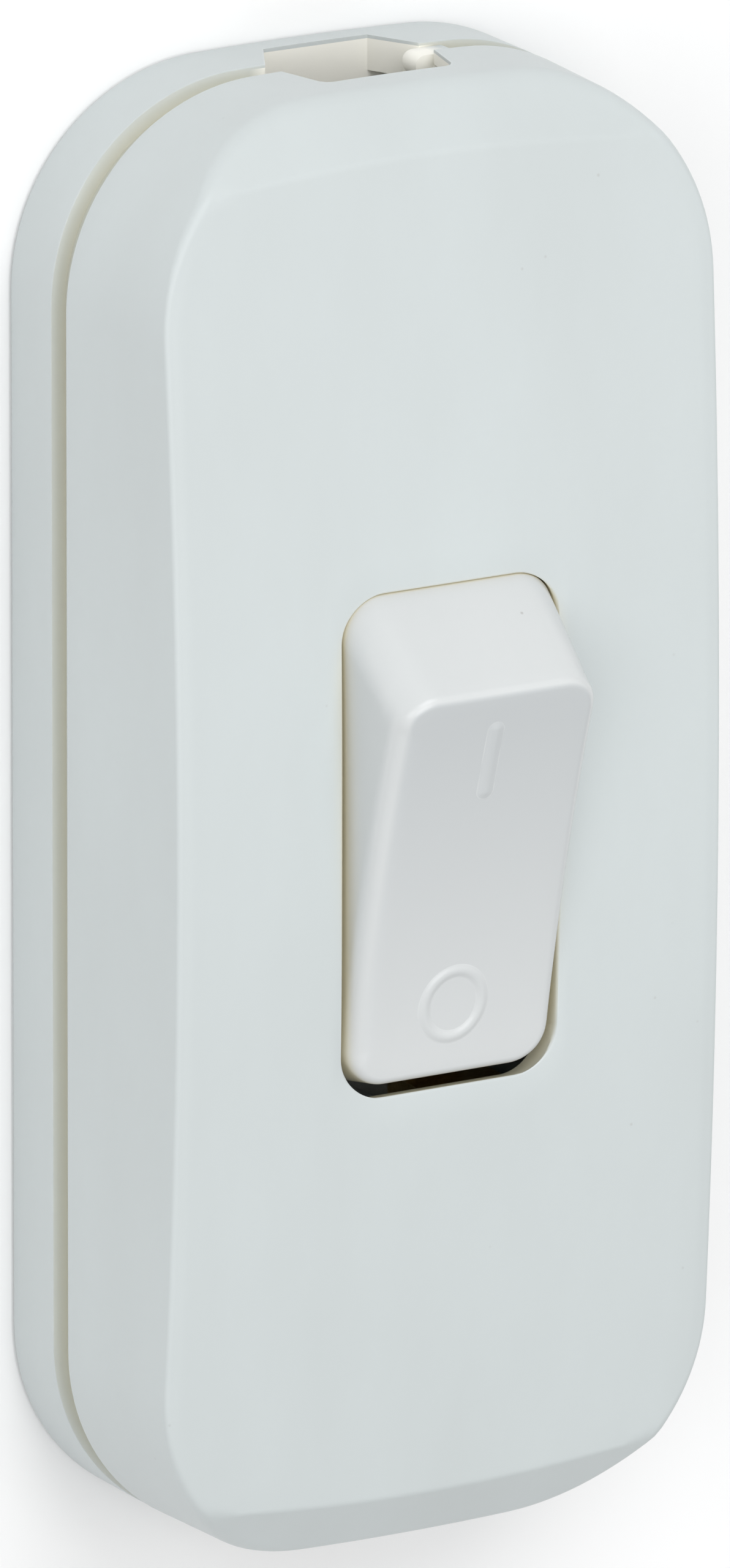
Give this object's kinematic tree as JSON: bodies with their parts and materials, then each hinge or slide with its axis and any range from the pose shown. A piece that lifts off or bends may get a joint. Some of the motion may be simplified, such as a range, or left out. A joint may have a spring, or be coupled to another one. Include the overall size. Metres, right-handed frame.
{
  "type": "in-line cord switch",
  "caption": "In-line rocker switch for a flexible cord: two-part white case with a shadow gap, see-saw contacts, screw terminals and a cord clamp at each end.",
  "frame": {"origin": "middle of the flat back face", "axes": "+Y along the case towards the end with the bar mark, +Z out of the rocker face, +X to the right when the face is looked at with +Y up"},
  "size_m": [0.04, 0.091, 0.0246],
  "materials": {
    "case_plastic": "satin moulded thermoplastic",
    "rocker_plastic": "smooth moulded thermoplastic",
    "inner_plastic": "plain moulded thermoplastic",
    "terminal_brass": "stamped and milled brass",
    "contact_silver": "silver contact rivet",
    "screw_steel": "zinc plated steel",
    "spring_steel": "drawn spring wire"
  },
  "bodies": {
    "case": {"rear_cover": "case_plastic", "front_cover": "case_plastic", "cover_screws": "screw_steel", "live_pivot_terminal": "terminal_brass", "neutral_pivot_terminal": "terminal_brass", "live_contact_terminal": "terminal_brass", "neutral_contact_terminal": "terminal_brass", "live_fixed_rivet": "contact_silver", "neutral_fixed_rivet": "contact_silver", "terminal_screws": "screw_steel", "earth_terminal": "terminal_brass", "earth_screws": "screw_steel", "upper_cord_clamp": "inner_plastic", "lower_cord_clamp": "inner_plastic", "clamp_screws": "screw_steel"},
    "rocker": {"rocker": "rocker_plastic", "live_plunger_spring": "spring_steel", "neutral_plunger_spring": "spring_steel"},
    "live_plunger": {"live_plunger": "inner_plastic"},
    "neutral_plunger": {"neutral_plunger": "inner_plastic"},
    "live_seesaw": {"live_seesaw": "terminal_brass", "live_moving_rivet": "contact_silver"},
    "neutral_seesaw": {"neutral_seesaw": "terminal_brass", "neutral_moving_rivet": "contact_silver"}
  },
  "joints": [
    {"name": "rocker_tilt", "type": "hinge", "parent": "case", "child": "rocker", "pos_m": [0, 0, 0.0127], "axis": [-1, 0, 0], "range_deg": [0, 28]},
    {"name": "live_plunger_slide", "type": "slide", "parent": "rocker", "child": "live_plunger", "axis": [0, -0.2419, 0.9703], "range_m": [0, 0.0008], "stiffness_N_per_m": 500, "springref_m": -0.002, "deforming": ["live_plunger_spring"]},
    {"name": "neutral_plunger_slide", "type": "slide", "parent": "rocker", "child": "neutral_plunger", "axis": [0, -0.2419, 0.9703], "range_m": [0, 0.0008], "stiffness_N_per_m": 500, "springref_m": -0.002, "deforming": ["neutral_plunger_spring"]},
    {"name": "live_seesaw_flip", "type": "hinge", "parent": "case", "child": "live_seesaw", "pos_m": [-0.0031, 0, 0.0053], "axis": [1, 0, 0], "range_deg": [0, 24]},
    {"name": "neutral_seesaw_flip", "type": "hinge", "parent": "case", "child": "neutral_seesaw", "pos_m": [0.0031, 0, 0.0053], "axis": [1, 0, 0], "range_deg": [0, 24]}
  ],
  "couplings": [
    {"joint": "live_seesaw_flip", "follows": "rocker_tilt", "ratio": 0.85714},
    {"joint": "neutral_seesaw_flip", "follows": "rocker_tilt", "ratio": 0.85714}
  ]
}
